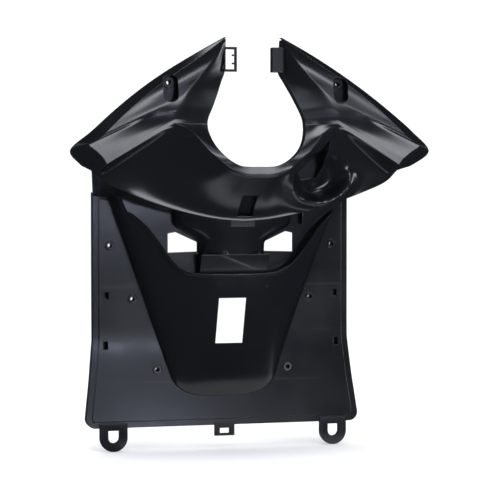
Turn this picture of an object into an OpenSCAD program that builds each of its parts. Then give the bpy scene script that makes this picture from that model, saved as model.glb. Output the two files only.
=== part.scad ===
// Inner leg shield panel of a scooter, seen from the rider's side.
// X runs to the rider's right hand in the photo view, -Y faces the rider and Z is up.
// The origin is on the mid-plane, on the rider's face of the panel, level with its bottom edge.

/* [Wall] */
// Thickness of the moulded wall
wall = 2.8; // [2.4:0.1:3.2]
// Depth of the stiffening flange behind free edges
flange_d = 12; // [8:1:16]

/* [Leg shield] */
// Width of the leg shield at its waist
shield_w = 340; // [320:1:360]
// Width across the flared bottom corners
shield_foot_w = 362; // [352:1:380]
// Height at which the foot of the shield bends towards the rider
bend_z = 108; // [95:1:120]
// Slope of the foot below the bend, sideways over down
bend_slope = 0.13; // [0.05:0.01:0.2]
// Width of the stepped strip along each side edge
strip_w = 8; // [6:0.5:10]
// Depth of that step
strip_step = 1.2; // [0.6:0.1:1.6]

/* [Tongue and pocket] */
// Height of the lowest point of the tongue
tongue_z = 38; // [34:1:44]
// Half width of the tongue at its foot
tongue_foot = 61; // [56:1:64]
// Half width gained for each millimetre of height
tongue_flare = 0.336; // [0.3:0.002:0.34]
// Bulge of the tongue at its foot
tongue_bulge = 14; // [12:0.5:16]
// Bulge gained for each millimetre of height
tongue_rake = 0.34; // [0.3:0.01:0.36]
// Height of the middle of the pocket rim
rim_z = 198; // [194:1:204]
// Distance from the shield face to the pocket's back wall
pocket_back_y = 46; // [42:1:48]
// Half width of the steering tunnel between the two back openings
tunnel_half = 42; // [38:1:44]

/* [Cowl] */
// Height of the lower lip at the middle
lip_z = 266; // [262:1:270]
// Reach of the lower lip towards the rider at the middle
lip_reach = 115; // [110:1:122]
// Height of the two upper tips
top_z = 490; // [484:1:496]
// Half width at the wing tips
wing_half = 224; // [216:1:230]
// Height of the wing tips
wing_z = 350; // [346:1:356]
// Reach of the wings towards the rider just inside their folded band
wing_reach = 171; // [166:1:176]
// Slope of the wing face away from its rim
wing_slope = 0.3; // [0.2:0.01:0.4]
// Width of the folded band along the upper rim
band_w = 8; // [6:0.5:10]

/* [Steering opening] */
// Half width between the upper tips
gap_half = 35; // [33:0.5:38]
// Half width of the steering opening at its widest
ring_half = 61; // [58:1:64]
// Height of the widest point
ring_wide_z = 384; // [380:1:388]
// Height of the flat bottom of the opening
ring_low_z = 333; // [330:1:336]

/* [Screws and clips] */
// Bore of every screw hole
screw_d = 5.5; // [5:0.1:6]
// Outside of the screw bosses
boss_d = 14; // [12:0.5:16]
// Distance between the two wing screws
wing_screw_w = 212; // [208:1:216]
// Height of the wing screws
wing_screw_z = 434; // [432:1:436]
// Distance between the upper pair of shield screws
high_screw_w = 296; // [290:1:300]
// Height of the upper pair
high_screw_z = 233; // [228:1:238]
// Distance between the middle pair of shield screws
mid_screw_w = 237; // [236:1:240]
// Height of the middle pair
mid_screw_z = 164; // [160:1:168]
// Distance between the lower pair of shield screws
low_screw_w = 174; // [172:1:180]
// Height of the lower pair
low_screw_z = 73; // [70:1:76]
// Distance between the two bottom loops
loop_w = 292; // [284:1:296]

/* [Hidden] */
fine = 32;
far = 400;

// Inset of the flanges behind the faces' edges
draft = 0.2;
eps = 0.01;

// Side outline of the shield and the lowest row of its screws
shield_half = shield_w / 2;
foot_half = shield_foot_w / 2;
foot_z = 60;
waist_z = 111;
foot_corner_r = 12;
bend_soft = 22;
shoulder_half = 188;
shoulder_z = 322;

// Tongue section: a superellipse that gets squarer towards the pocket
tongue_top = 320;
tongue_end = 30;
tongue_cut = 0.97;
section_low = 2.2;
section_high = 2.9;
section_steps = 24;
tongue_rows = 14;
slot_half = 18;
slot_low = 108;
slot_high = 167;

// Pocket mouth, rim first from the middle outwards
mouth = [[0, rim_z], [44, rim_z + 1], [64, rim_z + 6], [80, rim_z + 18],
         [112, rim_z + 60], [142, rim_z + 88], [152, rim_z + 112]];
pocket_floor_z = rim_z - 18;
opening = [[tunnel_half + 2, 226], [tunnel_half + 2, 238], [72, 251], [82, 249], [82, 225]];
tunnel_neck = 236;
tunnel_wide = 76;
tunnel_flare_z = 264;
tunnel_reach = 24;
tunnel_lean = 0.45;
tunnel_section = 3;
ledge_z = 223;
ledge_reach = 73;
ledge_foot = 60;
rim_bead = 4;
side_wall_y = 95;

// Wing and belly of the cowl
lip_rise = 34;
lip_span = 145;
lip_power = 1.7;
lip_spread = 20;
lip_end = 182;
tip_reach = 26;
rim_bow = 9.5;
belly_pitch = 1.48;
belly_ease = 0.0047;
fold_soft = 14;
funnel_slope = 0.25;
reach_bottom = 195;
reach_side = 175;
reach_top = 156;
cowl_step = 11;
cowl_box = [-231, 231, 254, 496];

// Key bowl on the rider's right, with a deeper well towards the lock
bowl = [86, 322];
bowl_r = [42, 34];
bowl_depth = 16;
bowl_brow = 12;
well = [[93, 366], [54, 326], [66, 316], [86, 319], [93, 333]];
well_floor = 132;

// Middle recess of the belly
recess_half = 9.7;
recess_low = 271;
recess_high = 297;
recess_low_reach = 119;
recess_high_reach = 137;

knob_x = 15;
knob_r = 9;
knob_h = 4;
rib_x = 91;
rib_d = 12;
rib_low = 227;
rib_h = 26;
rib_lean = 35;
wing_pad_y = -161;
wing_pad_r = 9;
wing_pad_drop = 15;
boss_back_y = 14;
wing_boss_h = 14;
loop_half = 18;
loop_slot = 7;
loop_drop = 30;
loop_t = 5;
hook_half = 13;
hook_drop = 14;
clip_w = 14;
clip_h = 30;
clip_low = 448;
clip_t = 2.5;
catch_d = 10;
catch_half = 15;
stiff_d = 9;
clip_slots = [[152.5, 168], [154, 105]];
pad_r = 5.5;
pad_h = 1.6;

function clamp(v, low, high) = min(high, max(low, v));
function blend(a, b, t) = a + (b - a) * t;
function ease(a, b, v) = let (t = clamp((v - a) / (b - a), 0, 1)) t * t * (3 - 2 * t);

// The lower of two heights, with the fold between them rounded over
function fold(a, b, r) = min(a, b) - pow(max(r - abs(a - b), 0), 2) / (4 * r);

// Reach of the shield face at height z, flat above the bend
function shield_reach(z) =
    let (d = bend_z - z) 0.5 * bend_slope * (d + sqrt(d * d + bend_soft * bend_soft));

// Half width and reach of the tongue at height z, both closing in at its end
function tongue_gap(z, inset) =
    tongue_cut * clamp((tongue_z + inset + tongue_end - z) / tongue_end, 0, 1);
function tongue_half(z, inset) =
    (tongue_foot + tongue_flare * (z - tongue_z) - inset) * pow(1 - pow(tongue_gap(z, inset), 3), 1 / 3);
function tongue_reach(z, inset) =
    (tongue_bulge + tongue_rake * (z - tongue_z) - shield_reach(z) - inset)
    * pow(1 - pow(tongue_gap(z, inset), 2.5), 0.4);
function tongue_power(z) = blend(section_low, section_high, ease(tongue_z, tongue_top, z));

// One level section: an arch of half width w and reach r in front of y0, closed by a base at y1
function arch(w, r, n, y0, y1, z) = concat(
    [for (i = [0:section_steps]) let (a = 180 * i / section_steps)
        [w * sign(cos(a)) * pow(abs(cos(a)), 2 / n), y0 - r * pow(sin(a), 2 / n), z]],
    [[-w, y1, z], [w, y1, z]]);

// Points of the cowl's lower lip and of its bowed upper rim
function lip(x) = lip_z + lip_rise * pow(abs(x) / lip_span, lip_power);
rim_run = [wing_half - gap_half, wing_z + 3 - top_z];
rim_length = norm(rim_run);
function rim_at(t) =
    [gap_half, top_z] + rim_run * t + [-rim_run[1], rim_run[0]] / rim_length * rim_bow * sin(180 * t);

// Distance inside the upper rim
function rim_depth(x, z) =
    let (d = [abs(x) - gap_half, z - top_z], t = clamp(d * rim_run / rim_length / rim_length, 0, 1))
    (d[0] * rim_run[1] - d[1] * rim_run[0]) / rim_length + rim_bow * sin(180 * t);

// Half outline of the steering opening, bottom middle to top
ring = [[0, ring_low_z], [20, ring_low_z], [41, ring_low_z + 11], [56, ring_low_z + 29],
        [ring_half, ring_wide_z], [gap_half, 448], [gap_half, top_z + 20]];
ring_mid = [0, ring_wide_z];

// Distance outside the opening, taken from the nearest of its sides
function side_gap(p, a, b) =
    let (d = b - a, t = clamp((p - a) * d / (d * d), 0, 1)) norm(p - a - d * t);
function ring_gap(x, z) = min([for (i = [0:len(ring) - 2]) side_gap([abs(x), z], ring[i], ring[i + 1])]);

// The three faces of the cowl: wing, funnel round the opening and belly
function wing_face(x, z) =
    let (d = rim_depth(x, z)) wing_reach + wing_slope * (d - band_w) - max(0, band_w - d);
function funnel_face(x, z) =
    blend(blend(reach_bottom, reach_side, ease(ring_low_z + 8, ring_wide_z, z)),
          reach_top, ease(ring_wide_z + 20, 455, z)) + funnel_slope * ring_gap(x, z);
function belly_face(x, z) =
    lip_reach + lip_spread * min(1, pow(x / lip_span, 2)) + tip_reach * ease(lip_end, wing_half, abs(x))
    + (belly_pitch - belly_ease * abs(x)) * (z - lip(x));

// Dish of the key bowl and the raised brow below it
function bowl_at(x, z) = norm([(x - bowl[0]) / bowl_r[0], (z - bowl[1]) / bowl_r[1]]);
function bowl_change(x, z) =
    let (r = bowl_at(x, z))
    bowl_brow * exp(-pow((r - 1) / 0.22, 2)) * ease(bowl[1] + 14, bowl[1] - 16, z)
    - bowl_depth * ease(1, 0.4, r);

function cowl_reach(x, z) =
    fold(fold(wing_face(x, z), funnel_face(x, z), fold_soft), belly_face(x, z), fold_soft)
    + bowl_change(x, z);

// Mirrors a half outline about the mid-plane
function both_sides(half) =
    concat(half, [for (i = [len(half) - 1:-1:0]) if (half[i][0] > 0) [-half[i][0], half[i][1]]]);

// Solid between level sections of equal point count
module loft(sections) {
    n = len(sections[0]);
    last = (len(sections) - 1) * n;
    polyhedron(
        points = [for (s = sections) each s],
        faces = concat(
            [[for (i = [n - 1:-1:0]) i]],
            [[for (i = [0:n - 1]) last + i]],
            [for (k = [0:len(sections) - 2], i = [0:n - 1], h = [0, 1])
                let (a = k * n + i, b = k * n + (i + 1) % n)
                h == 0 ? [a, b, a + n] : [b, b + n, a + n]]),
        convexity = 8);
}

// Drives a front-view outline through from y0 to y1
module through(y0, y1) {
    translate([0, y1, 0]) rotate([90, 0, 0]) linear_extrude(y1 - y0) children();
}

module mirrored() {
    children();
    mirror([1, 0, 0]) children();
}

// Front-view outlines
module shield_outline() {
    corner = [foot_half - foot_corner_r, foot_corner_r];
    polygon(both_sides(concat(
        [[0, 0]],
        [for (a = [-90:30:0]) corner + foot_corner_r * [cos(a), sin(a)]],
        [[foot_half - 6, foot_z], [shield_half, waist_z], [shield_half, lip(shield_half) + 2 * wall]],
        [for (i = [7:-1:0]) let (x = shield_half * i / 8) [x, lip(x) + 2 * wall]])));
}

module cowl_outline() {
    polygon(both_sides(concat(
        [for (i = [0:9]) let (x = lip_end * i / 9) [x, lip(x)]],
        [[shoulder_half, shoulder_z], [194, 329], [206, 334], [217, 341], [wing_half, wing_z]],
        [for (t = [1:-0.125:0]) rim_at(t)],
        [[0, top_z]])));
}

module ring_outline() {
    offset(5, $fn = 12) offset(-5, $fn = 12) polygon(both_sides(ring));
}

module mouth_outline() {
    polygon(both_sides(concat(mouth, [[152, 380]])));
}

module tongue_body(inset, base) {
    low = tongue_z + inset;
    rows = concat(
        [for (i = [0:6]) low + tongue_end * pow(i / 6, 1.6)],
        [for (i = [1:tongue_rows - 6])
            low + tongue_end + (tongue_top - low - tongue_end) * i / (tongue_rows - 6)]);
    loft([for (z = rows)
        arch(tongue_half(z, inset), tongue_reach(z, inset), tongue_power(z), -shield_reach(z), base, z)]);
}

module tunnel_body(inset, base) {
    rows = [ledge_z - wall / 2 - inset, tunnel_neck, 243, 250, 257, tunnel_flare_z, tongue_top];
    loft([for (z = rows)
        arch(blend(tunnel_half, tunnel_wide, ease(tunnel_neck, tunnel_flare_z, z)) - inset,
             tunnel_reach + tunnel_lean * max(0, z - ledge_z) - inset,
             tunnel_section, -pocket_back_y, base, z)]);
}

// Shield wall of thickness t from its face backwards, before its outline is cut
module shield_slab(t, step) {
    levels = [-30, 44, 80, 96, 108, 120, 136, 166, 330];
    rotate([90, 0, 90]) translate([0, 0, -far / 2]) linear_extrude(far)
        polygon(concat(
            [for (z = levels) [step - shield_reach(z), z]],
            [for (i = [len(levels) - 1:-1:0]) [t - shield_reach(levels[i]), levels[i]]]));
}

module leg_shield() {
    intersection() {
        shield_slab(wall, 0);
        through(-60, 40) offset(delta = -strip_w) shield_outline();
    }
    intersection() {
        shield_slab(wall + strip_step, strip_step);
        through(-60, 40) difference() {
            shield_outline();
            offset(delta = -strip_w - wall) shield_outline();
        }
    }
    intersection() {
        shield_slab(flange_d, strip_step + wall * 0.6);
        through(-60, 40) difference() {
            shield_outline();
            offset(delta = -wall) shield_outline();
        }
    }
}

// Slab that follows the cowl's three blended surfaces, from depth y0 behind the face to depth y1
module cowl_slab(y0, y1, step) {
    xs = [for (x = [cowl_box[0]:step:cowl_box[1]]) x];
    zs = [for (z = [cowl_box[2]:step:cowl_box[3]]) z];
    n = len(xs);
    m = len(zs);
    face = [for (z = zs, x = xs) [x, y0 - cowl_reach(x, z), z]];
    back = [for (p = face) [p[0], p[1] + y1 - y0, p[2]]];
    rim = concat(
        [for (i = [0:n - 1]) i],
        [for (j = [1:m - 1]) j * n + n - 1],
        [for (i = [n - 2:-1:0]) (m - 1) * n + i],
        [for (j = [m - 2:-1:1]) j * n]);
    polyhedron(
        points = concat(face, back),
        faces = concat(
            [for (j = [0:m - 2], i = [0:n - 2], h = [0, 1]) let (a = j * n + i)
                h == 0 ? [a, a + n, a + 1] : [a + 1, a + n, a + n + 1]],
            [for (j = [0:m - 2], i = [0:n - 2], h = [0, 1]) let (a = j * n + i + n * m)
                h == 0 ? [a, a + 1, a + n] : [a + 1, a + n + 1, a + n]],
            [for (k = [0:len(rim) - 1], h = [0, 1])
                let (a = rim[k], b = rim[(k + 1) % len(rim)])
                h == 0 ? [a, b, a + n * m] : [b, b + n * m, a + n * m]]),
        convexity = 10);
}

module cowl_face_outline() {
    difference() {
        cowl_outline();
        ring_outline();
    }
}

// Plan view of the return wall: its ends run in from the wing corners to the shield's edges
module side_limit() {
    polygon([[-far, -far], [far, -far], [shoulder_half + 2, -side_wall_y], [shield_half - draft, -wall],
             [shield_half - draft, wall / 2], [draft - shield_half, wall / 2], [draft - shield_half, -wall],
             [-shoulder_half - 2, -side_wall_y]]);
}

module cowl() {
    intersection() {
        cowl_slab(0, wall * 1.3, cowl_step);
        through(-far, 0) cowl_face_outline();
    }
    // Flange behind the rims and round the steering opening
    intersection() {
        cowl_slab(wall / 2, flange_d, 2 * cowl_step);
        through(-far, 0) difference() {
            offset(delta = -draft) cowl_face_outline();
            offset(delta = -wall) cowl_face_outline();
        }
    }
    // The lower lip turns back to the shield
    intersection() {
        cowl_slab(wall * 0.6, far / 2, 2 * cowl_step);
        linear_extrude(far, convexity = 4) side_limit();
        through(-far, wall) difference() {
            intersection() {
                offset(delta = -2 * draft) cowl_outline();
                translate([-shoulder_half - 2, 0]) square([2 * shoulder_half + 4, shoulder_z + 5]);
            }
            offset(delta = draft - wall) cowl_outline();
        }
    }
}

// Box below the tunnel, its front leaning out to the ledge
module ledge(inset, back) {
    half = tunnel_half + 2 - inset;
    rotate([90, 0, 90]) translate([0, 0, -half]) linear_extrude(2 * half)
        polygon([[back, pocket_floor_z + 1.5 * inset], [-ledge_foot + inset, pocket_floor_z + 1.5 * inset],
                 [-ledge_foot + inset, rim_z], [-ledge_reach + inset, ledge_z - inset],
                 [back, ledge_z - inset]]);
}

module pocket() {
    intersection() {
        tongue_body(wall / 2, wall);
        translate([-far / 2, -pocket_back_y, pocket_floor_z]) cube([far, wall, far]);
    }
    intersection() {
        tongue_body(wall / 2, wall);
        translate([-far / 2, -far / 2, pocket_floor_z]) cube([far, far / 2 - pocket_back_y + wall, wall]);
    }
    ledge(0, -pocket_back_y + wall / 2);
    translate([-knob_x, -ledge_reach + knob_r, ledge_z]) cylinder(h = knob_h, r = knob_r, $fn = 20);
    translate([rib_x, -pocket_back_y - rib_d, rib_low]) rotate([0, rib_lean, 0]) cube([wall, rib_d, rib_h]);
    translate([rib_x, -pocket_back_y - rib_d, lip_z - 6]) cube([1.6, rib_d, 22]);
}

// Rounded bead along the edge of the pocket mouth
module rim_bead() {
    intersection() {
        tongue_body(-rim_bead, wall);
        through(-far, -pocket_back_y) difference() {
            offset(delta = rim_bead) mouth_outline();
            translate([-far / 2, lip_z + 10]) square(far);
        }
    }
}

module pocket_cuts() {
    tunnel_body(wall, 20);
    ledge(wall, 20);
    mirrored() through(-pocket_back_y - 1, 20) polygon(opening);
}

module skin() {
    difference() {
        union() {
            difference() {
                union() {
                    leg_shield();
                    tongue_body(0, wall);
                    rim_bead();
                }
                tongue_body(wall, 20);
                through(-far, -pocket_back_y) mouth_outline();
                through(-far, 0) translate([-slot_half, slot_low]) square([2 * slot_half, slot_high - slot_low]);
            }
            pocket();
            tunnel_body(0, -pocket_back_y + wall / 2);
            cowl();
        }
        pocket_cuts();
    }
}

// Screw places: two on the wings, three pairs on the shield
shield_screws = [[high_screw_w / 2, high_screw_z], [mid_screw_w / 2, mid_screw_z], [low_screw_w / 2, low_screw_z]];

module screw_boss(p) {
    reach = shield_reach(p[1]);
    translate([p[0], boss_back_y, p[1]]) rotate([90, 0, 0])
        cylinder(h = boss_back_y + reach, d = boss_d, $fn = fine);
    translate([p[0], -reach, p[1]]) rotate([90, 0, 0]) cylinder(h = pad_h, r = pad_r, $fn = fine);
}

module screw_bore(p) {
    translate([p[0], boss_back_y + 1, p[1]]) rotate([90, 0, 0])
        cylinder(h = 2 * boss_back_y + 2, d = screw_d, $fn = fine);
}

// Sunk places of the cowl, each grown by a wall to back it up: screw seats, key well and middle recess
module wing_seat(grow) {
    r = wing_pad_r + grow;
    through(-far, wing_pad_y + grow) translate([wing_screw_w / 2, wing_screw_z]) {
        circle(r, $fn = 20);
        translate([0, -wing_pad_drop]) circle(r, $fn = 20);
        translate([-r, -wing_pad_drop]) square([2 * r, wing_pad_drop]);
    }
}

module key_well(grow) {
    through(-far, -well_floor + grow) offset(delta = grow) polygon(well);
}

module recess(grow) {
    half = recess_half + grow;
    rotate([90, 0, 90]) translate([0, 0, -half]) linear_extrude(2 * half)
        polygon([[-far, recess_low - grow], [-recess_low_reach + grow, recess_low - grow],
                 [-recess_high_reach + grow, recess_high + grow], [-far, recess_high + grow]]);
}

module sunk_places(grow) {
    mirrored() wing_seat(grow);
    key_well(grow);
    recess(grow);
}

module wing_boss() {
    translate([wing_screw_w / 2, wing_pad_y + wing_boss_h, wing_screw_z]) rotate([90, 0, 0])
        cylinder(h = wing_boss_h, d = boss_d, $fn = fine);
}

module wing_bore() {
    translate([wing_screw_w / 2, wing_pad_y + wing_boss_h + 1, wing_screw_z]) rotate([90, 0, 0])
        cylinder(h = wing_boss_h + 30, d = screw_d, $fn = fine);
}

// Loop that drops from the bottom edge and slips over a peg
module bottom_loop() {
    y = -shield_reach(-loop_drop / 2);
    through(y, y + loop_t) difference() {
        union() {
            translate([loop_w / 2 - loop_half, -loop_drop + loop_half]) square([2 * loop_half, loop_drop - 8]);
            translate([loop_w / 2, -loop_drop + loop_half]) circle(loop_half, $fn = 24);
        }
        translate([loop_w / 2 - loop_slot, -loop_drop + loop_half]) square([2 * loop_slot, 9]);
        translate([loop_w / 2, -loop_drop + loop_half]) circle(loop_slot, $fn = 20);
    }
}

// Small hook in the middle of the bottom edge
module middle_hook() {
    y = -shield_reach(-6);
    through(y, y + loop_t) difference() {
        translate([-hook_half, -hook_drop]) square([2 * hook_half, hook_drop + 4]);
        translate([-hook_half / 2, -hook_drop + 3]) square([hook_half, hook_drop - 7]);
    }
}

// Open frame on the left upper tip and the closed catch on the right one
module clip_frame() {
    through(-reach_top - 4, -reach_top - 4 + clip_t) difference() {
        translate([-gap_half - 2, clip_low]) square([clip_w + 2, clip_h]);
        translate([-gap_half, clip_low + 3]) square([clip_w - 3, clip_h - 6]);
    }
    for (k = [0, 1])
        translate([-gap_half + clip_w - 6, -reach_top - 4, clip_low + 9 + 10 * k]) cube([4, clip_t, 2]);
}

module clip_catch() {
    translate([gap_half - clip_w + 2, -reach_top - 6, clip_low]) difference() {
        cube([clip_w, catch_d, clip_h]);
        translate([2, 2, 2]) cube([clip_w, catch_d, clip_h - 4]);
    }
}

module stiffeners() {
    mirrored() {
        for (p = shield_screws)
            translate([p[0], 0, p[1] - 0.8]) cube([shield_half - p[0] - wall / 2, stiff_d, 1.6]);
        translate([high_screw_w / 2 - 0.8, 0, low_screw_z]) cube([1.6, stiff_d, high_screw_z - low_screw_z]);
    }
}

module wing_stiffeners() {
    intersection() {
        cowl_slab(wall / 2, flange_d, 2 * cowl_step);
        through(-far, 0) intersection() {
            offset(delta = -1) cowl_face_outline();
            mirrored() union() {
                translate([wing_screw_w / 2 - 0.8, 340]) square([1.6, 120]);
                translate([60, 400]) square([120, 1.6]);
            }
        }
    }
}

module solid_parts() {
    difference() {
        union() {
            skin();
            mirrored() bottom_loop();
            middle_hook();
            clip_frame();
            clip_catch();
            stiffeners();
            wing_stiffeners();
            intersection() {
                cowl_slab(wall / 2, far / 4, 2 * cowl_step);
                sunk_places(wall);
                through(-far, 0) cowl_outline();
            }
            translate([-catch_half, -lip_reach + 8, lip_z - 7]) cube([2 * catch_half, wall, 12]);
        }
        sunk_places(0);
        mirrored() for (q = clip_slots)
            through(-30, 30) translate([q[0] - 3, q[1] - 5]) square([6, 10]);
    }
}

module inner_panel() color("#141518") difference() {
    union() {
        resize([0, 0, 0]) solid_parts();
        mirrored() {
            for (p = shield_screws) screw_boss(p);
            wing_boss();
        }
    }
    mirrored() {
        for (p = shield_screws) screw_bore(p);
        wing_bore();
    }
}

inner_panel();
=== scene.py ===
"""Inner leg shield panel of a scooter: a one-piece black moulding on a pale floor."""

import math

import bpy
import bmesh
import numpy as np
from bpy.props import FloatProperty, PointerProperty, StringProperty
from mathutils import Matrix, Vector


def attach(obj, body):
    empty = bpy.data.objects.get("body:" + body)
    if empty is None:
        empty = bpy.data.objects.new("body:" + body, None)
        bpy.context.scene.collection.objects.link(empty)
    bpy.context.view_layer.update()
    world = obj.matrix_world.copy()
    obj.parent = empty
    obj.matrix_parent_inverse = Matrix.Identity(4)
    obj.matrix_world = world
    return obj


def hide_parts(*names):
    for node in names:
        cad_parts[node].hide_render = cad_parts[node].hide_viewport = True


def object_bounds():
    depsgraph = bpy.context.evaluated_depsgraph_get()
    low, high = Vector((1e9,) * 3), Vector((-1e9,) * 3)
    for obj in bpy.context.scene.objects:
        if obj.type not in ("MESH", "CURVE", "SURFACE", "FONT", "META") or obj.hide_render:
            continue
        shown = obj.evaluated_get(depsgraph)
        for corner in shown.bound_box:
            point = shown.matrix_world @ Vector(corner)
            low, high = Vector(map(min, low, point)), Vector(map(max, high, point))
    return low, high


bl_info = {
    "name": "Scooter Inner Panel",
    "version": (1, 0, 0),
    "blender": (4, 5, 0),
    "location": "3D View > Sidebar > Inner Panel",
    "description": "Builds the moulded inner leg shield panel, its finish and a plain studio",
    "category": "Object",
}

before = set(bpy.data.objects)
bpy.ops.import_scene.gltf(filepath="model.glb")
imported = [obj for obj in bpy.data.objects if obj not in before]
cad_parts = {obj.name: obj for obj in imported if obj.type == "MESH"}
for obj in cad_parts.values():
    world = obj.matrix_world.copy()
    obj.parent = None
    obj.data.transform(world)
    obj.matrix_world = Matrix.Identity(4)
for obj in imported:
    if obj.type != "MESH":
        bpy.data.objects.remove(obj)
CAD_BOX = [list(corner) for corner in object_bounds()]
BODY = "root"
CAD_NODE = "inner_panel"
MM = 0.001


# Sizes and colours that a user would change
def length(name, description, default):
    return FloatProperty(
        name=name, description=description, default=default, unit="LENGTH", subtype="DISTANCE", precision=4)


def hex_colour(name, description, default):
    return StringProperty(name=name, description=description + ", as sRGB hex", default=default)


class PanelSizes(bpy.types.PropertyGroup):
    wall: length("Wall", "Thickness of the moulded wall", 0.0028)
    flange: length("Flange", "Depth of the flange behind free edges", 0.012)
    shield_width: length("Shield width", "Width of the leg shield at its waist", 0.340)
    foot_width: length("Foot width", "Width across the flared bottom corners", 0.362)
    bend_height: length("Bend height", "Height at which the foot bends towards the rider", 0.108)
    strip_width: length("Side strip", "Width of the stepped strip along each side edge", 0.008)
    strip_step: length("Side strip step", "Depth of that step", 0.0012)
    tongue_height: length("Tongue foot", "Height of the lowest point of the tongue", 0.038)
    tongue_foot: length("Tongue foot half width", "Half width of the tongue at its foot", 0.061)
    rim_height: length("Pocket rim", "Height of the middle of the pocket rim", 0.198)
    pocket_depth: length("Pocket back", "Distance from the shield face to the pocket's back wall", 0.046)
    lip_height: length("Lip height", "Height of the cowl's lower lip at the middle", 0.266)
    lip_reach: length("Lip reach", "Reach of the lower lip towards the rider", 0.115)
    top_height: length("Tip height", "Height of the two upper tips", 0.490)
    gap_half: length("Gap half width", "Half width between the upper tips", 0.035)
    wing_half: length("Wing half width", "Half width at the wing tips", 0.2239)
    wing_height: length("Wing height", "Height of the wing tips", 0.350)
    screw_bore: length("Screw bore", "Bore of every screw hole", 0.0055)
    boss: length("Screw boss", "Outside of the screw bosses", 0.014)


class PanelFinish(bpy.types.PropertyGroup):
    plastic: hex_colour("Plastic", "Colour of the moulded plastic", "#0e0f12")
    scuff: hex_colour("Scuffs", "Colour of handling marks", "#232427")
    floor: hex_colour("Floor", "Colour of the floor", "#fbfbfb")
    roughness: FloatProperty(
        name="Roughness", description="Roughness of the moulded skin", default=0.21, min=0.05, max=1.0)
    grain: length("Grain", "Width of one grain of the moulded skin", 0.0009)


def sizes():
    return bpy.context.scene.panel_sizes


def finish():
    return bpy.context.scene.panel_finish


# Small rules shared by every surface
def clamp(v, low, high):
    return np.minimum(high, np.maximum(low, v))


def blend(a, b, t):
    return a + (b - a) * t


def ease(a, b, v):
    t = clamp((v - a) / (b - a), 0.0, 1.0)
    return t * t * (3.0 - 2.0 * t)


def spline(points, k):
    """A smooth curve through the points, at station k."""
    pts = np.asarray(points, float)
    last = len(pts) - 1
    k = np.clip(np.asarray(k, float), 0.0, last)
    i = np.minimum(k.astype(int), last - 1)
    t = (k - i)[..., None]
    before, after = pts[np.maximum(i - 1, 0)], pts[np.minimum(i + 2, last)]
    a, b = pts[i], pts[i + 1]
    in_slope = np.where((i == 0)[..., None], b - a, 0.5 * (b - before))
    out_slope = np.where((i == last - 1)[..., None], b - a, 0.5 * (after - a))
    return ((2 * t**3 - 3 * t**2 + 1) * a + (t**3 - 2 * t**2 + t) * in_slope
            + (3 * t**2 - 2 * t**3) * b + (t**3 - t**2) * out_slope)


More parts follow.
